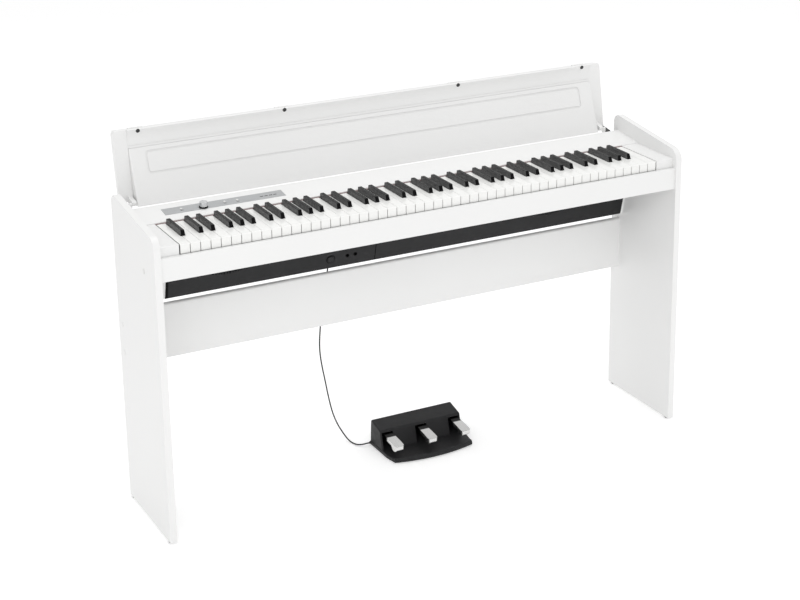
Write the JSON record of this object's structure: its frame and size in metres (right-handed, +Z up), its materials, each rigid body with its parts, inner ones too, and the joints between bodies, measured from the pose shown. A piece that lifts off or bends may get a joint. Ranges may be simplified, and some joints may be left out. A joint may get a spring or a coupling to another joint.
{
  "type": "digital piano on stand",
  "caption": "Full-size digital piano with a folding key cover on a two-panel stand, with a floor pedal unit and its cord.",
  "frame": {"origin": "on the floor, under the middle of the bounding box, with the cover open and the flap folded back", "axes": "+X to the player's right along the keys, -Y towards the player, +Z up"},
  "size_m": [1.3532, 0.3688, 0.8681],
  "materials": {
    "white_board": "satin white laminate",
    "white_case": "satin white paint",
    "strip_metal": "brushed",
    "knob_metal": "bright turned",
    "button_white": "gloss",
    "red_felt": "felt",
    "white_key": "gloss",
    "black_key": "satin",
    "plated_steel": "zinc plated",
    "charcoal_plastic": "fine texture",
    "black_plastic": "satin",
    "speaker_black": "paper cone, steel basket",
    "circuit_green": "solder mask",
    "socket_black": "moulded",
    "screw_cap": "moulded",
    "pedal_metal": "satin plated",
    "black_rubber": "matte",
    "cord_black": "satin jacket"
  },
  "bodies": {
    "case": {"side_panel_left": "white_board", "side_panel_right": "white_board", "panel_glides": "black_plastic", "panel_screws": "screw_cap", "rear_board": "white_board", "keybed": "white_board", "key_slip": "white_case", "cheek_blocks": "white_case", "top_deck": "white_case", "rear_cover": "white_board", "control_strip": "strip_metal", "key_felt": "red_felt", "key_frame": "plated_steel", "key_axle": "plated_steel", "lid_pivot_brackets": "white_case", "lid_stops": "black_plastic", "front_strip_left": "charcoal_plastic", "front_strip_right": "charcoal_plastic", "speaker_housing": "black_plastic", "speakers": "speaker_black", "circuit_boards": "circuit_green", "jack_sockets": "socket_black", "pedal_base": "charcoal_plastic", "pedal_cover": "charcoal_plastic", "pedal_axle": "plated_steel", "pedal_springs": "plated_steel", "pedal_feet": "black_rubber", "pedal_cord": "cord_black", "pedal_plug": "socket_black", "cord_gland": "black_rubber"},
    "lid": {"lid_board": "white_case", "lid_music_panel": "white_case", "lid_hinge_leaves": "white_case", "lid_caps": "black_plastic"},
    "flap": {"lid_flap": "white_case", "flap_hinge_leaves": "white_case"},
    "pedal_left": {"pedal_left": "pedal_metal"},
    "pedal_centre": {"pedal_centre": "pedal_metal"},
    "pedal_right": {"pedal_right": "pedal_metal"},
    "volume_knob": {"volume_knob": "knob_metal"},
    "power_button": {"power_button": "charcoal_plastic"},
    "panel_button_1": {"panel_button_1": "button_white"},
    "panel_button_2": {"panel_button_2": "button_white"},
    "panel_button_3": {"panel_button_3": "button_white"},
    "key_c4": {"key_c4": "white_key"},
    "key_c_sharp4": {"key_c_sharp4": "black_key"},
    "key_d4": {"key_d4": "white_key"},
    "key_d_sharp4": {"key_d_sharp4": "black_key"},
    "key_e4": {"key_e4": "white_key"},
    "key_f4": {"key_f4": "white_key"},
    "key_f_sharp4": {"key_f_sharp4": "black_key"},
    "key_g4": {"key_g4": "white_key"},
    "key_g_sharp4": {"key_g_sharp4": "black_key"},
    "key_a4": {"key_a4": "white_key"},
    "key_a_sharp4": {"key_a_sharp4": "black_key"},
    "key_b4": {"key_b4": "white_key"},
    "white_keys_low": {"white_keys_low": "white_key"},
    "white_keys_high": {"white_keys_high": "white_key"},
    "black_keys_low": {"black_keys_low": "black_key"},
    "black_keys_high": {"black_keys_high": "black_key"}
  },
  "joints": [
    {"name": "lid_hinge", "type": "hinge", "parent": "case", "child": "lid", "pos_m": [0, 0.09262, 0.7075], "axis": [1, 0, 0], "range_deg": [0, 105.8]},
    {"name": "flap_fold", "type": "hinge", "parent": "lid", "child": "flap", "pos_m": [0, 0.15658, 0.86524], "axis": [1, 0, 0], "range_deg": [0, 180]},
    {"name": "pedal_left_press", "type": "hinge", "parent": "case", "child": "pedal_left", "pos_m": [-0.045, 0.02962, 0.04], "axis": [1, 0, 0], "range_deg": [0, 5], "stiffness_Nm_per_rad": 6, "springref_deg": -6.88},
    {"name": "pedal_centre_press", "type": "hinge", "parent": "case", "child": "pedal_centre", "pos_m": [0.047, 0.02962, 0.04], "axis": [1, 0, 0], "range_deg": [0, 5], "stiffness_Nm_per_rad": 6, "springref_deg": -6.88},
    {"name": "pedal_right_press", "type": "hinge", "parent": "case", "child": "pedal_right", "pos_m": [0.139, 0.02962, 0.04], "axis": [1, 0, 0], "range_deg": [0, 5], "stiffness_Nm_per_rad": 6, "springref_deg": -6.88},
    {"name": "volume_turn", "type": "hinge", "parent": "case", "child": "volume_knob", "pos_m": [-0.484, 0.02259, 0.69912], "axis": [0, -0.1334, 0.9911], "range_deg": [-150, 150]},
    {"name": "power_press", "type": "slide", "parent": "case", "child": "power_button", "axis": [0, 0.9657, 0.2597], "range_m": [0, 0.002], "stiffness_N_per_m": 400, "springref_m": -0.0015},
    {"name": "panel_button_1_press", "type": "slide", "parent": "case", "child": "panel_button_1", "axis": [0, 0.1334, -0.9911], "range_m": [0, 0.0008], "stiffness_N_per_m": 500, "springref_m": -0.001},
    {"name": "panel_button_2_press", "type": "slide", "parent": "case", "child": "panel_button_2", "axis": [0, 0.1334, -0.9911], "range_m": [0, 0.0008], "stiffness_N_per_m": 500, "springref_m": -0.001},
    {"name": "panel_button_3_press", "type": "slide", "parent": "case", "child": "panel_button_3", "axis": [0, 0.1334, -0.9911], "range_m": [0, 0.0008], "stiffness_N_per_m": 500, "springref_m": -0.001},
    {"name": "key_c4_press", "type": "hinge", "parent": "case", "child": "key_c4", "pos_m": [-0.05875, 0.04162, 0.674], "axis": [1, 0, 0], "range_deg": [0, 2.74], "stiffness_Nm_per_rad": 0.5, "springref_deg": -14.32},
    {"name": "key_c_sharp4_press", "type": "hinge", "parent": "case", "child": "key_c_sharp4", "pos_m": [-0.049, 0.04162, 0.674], "axis": [1, 0, 0], "range_deg": [0, 2.74], "stiffness_Nm_per_rad": 0.5, "springref_deg": -14.32},
    {"name": "key_d4_press", "type": "hinge", "parent": "case", "child": "key_d4", "pos_m": [-0.03525, 0.04162, 0.674], "axis": [1, 0, 0], "range_deg": [0, 2.74], "stiffness_Nm_per_rad": 0.5, "springref_deg": -14.32},
    {"name": "key_d_sharp4_press", "type": "hinge", "parent": "case", "child": "key_d_sharp4", "pos_m": [-0.0215, 0.04162, 0.674], "axis": [1, 0, 0], "range_deg": [0, 2.74], "stiffness_Nm_per_rad": 0.5, "springref_deg": -14.32},
    {"name": "key_e4_press", "type": "hinge", "parent": "case", "child": "key_e4", "pos_m": [-0.01175, 0.04162, 0.674], "axis": [1, 0, 0], "range_deg": [0, 2.74], "stiffness_Nm_per_rad": 0.5, "springref_deg": -14.32},
    {"name": "key_f4_press", "type": "hinge", "parent": "case", "child": "key_f4", "pos_m": [0.01175, 0.04162, 0.674], "axis": [1, 0, 0], "range_deg": [0, 2.74], "stiffness_Nm_per_rad": 0.5, "springref_deg": -14.32},
    {"name": "key_f_sharp4_press", "type": "hinge", "parent": "case", "child": "key_f_sharp4", "pos_m": [0.0205, 0.04162, 0.674], "axis": [1, 0, 0], "range_deg": [0, 2.74], "stiffness_Nm_per_rad": 0.5, "springref_deg": -14.32},
    {"name": "key_g4_press", "type": "hinge", "parent": "case", "child": "key_g4", "pos_m": [0.03525, 0.04162, 0.674], "axis": [1, 0, 0], "range_deg": [0, 2.74], "stiffness_Nm_per_rad": 0.5, "springref_deg": -14.32},
    {"name": "key_g_sharp4_press", "type": "hinge", "parent": "case", "child": "key_g_sharp4", "pos_m": [0.047, 0.04162, 0.674], "axis": [1, 0, 0], "range_deg": [0, 2.74], "stiffness_Nm_per_rad": 0.5, "springref_deg": -14.32},
    {"name": "key_a4_press", "type": "hinge", "parent": "case", "child": "key_a4", "pos_m": [0.05875, 0.04162, 0.674], "axis": [1, 0, 0], "range_deg": [0, 2.74], "stiffness_Nm_per_rad": 0.5, "springref_deg": -14.32},
    {"name": "key_a_sharp4_press", "type": "hinge", "parent": "case", "child": "key_a_sharp4", "pos_m": [0.0735, 0.04162, 0.674], "axis": [1, 0, 0], "range_deg": [0, 2.74], "stiffness_Nm_per_rad": 0.5, "springref_deg": -14.32},
    {"name": "key_b4_press", "type": "hinge", "parent": "case", "child": "key_b4", "pos_m": [0.08225, 0.04162, 0.674], "axis": [1, 0, 0], "range_deg": [0, 2.74], "stiffness_Nm_per_rad": 0.5, "springref_deg": -14.32},
    {"name": "white_keys_low_press", "type": "hinge", "parent": "case", "child": "white_keys_low", "pos_m": [-0.34075, 0.04162, 0.674], "axis": [1, 0, 0], "range_deg": [0, 2.74], "stiffness_Nm_per_rad": 11.5, "springref_deg": -14.32},
    {"name": "white_keys_high_press", "type": "hinge", "parent": "case", "child": "white_keys_high", "pos_m": [0.3525, 0.04162, 0.674], "axis": [1, 0, 0], "range_deg": [0, 2.74], "stiffness_Nm_per_rad": 11, "springref_deg": -14.32},
    {"name": "black_keys_low_press", "type": "hinge", "parent": "case", "child": "black_keys_low", "pos_m": [-0.34075, 0.04162, 0.674], "axis": [1, 0, 0], "range_deg": [0, 2.74], "stiffness_Nm_per_rad": 8, "springref_deg": -14.32},
    {"name": "black_keys_high_press", "type": "hinge", "parent": "case", "child": "black_keys_high", "pos_m": [0.3525, 0.04162, 0.674], "axis": [1, 0, 0], "range_deg": [0, 2.74], "stiffness_Nm_per_rad": 7.5, "springref_deg": -14.32}
  ]
}
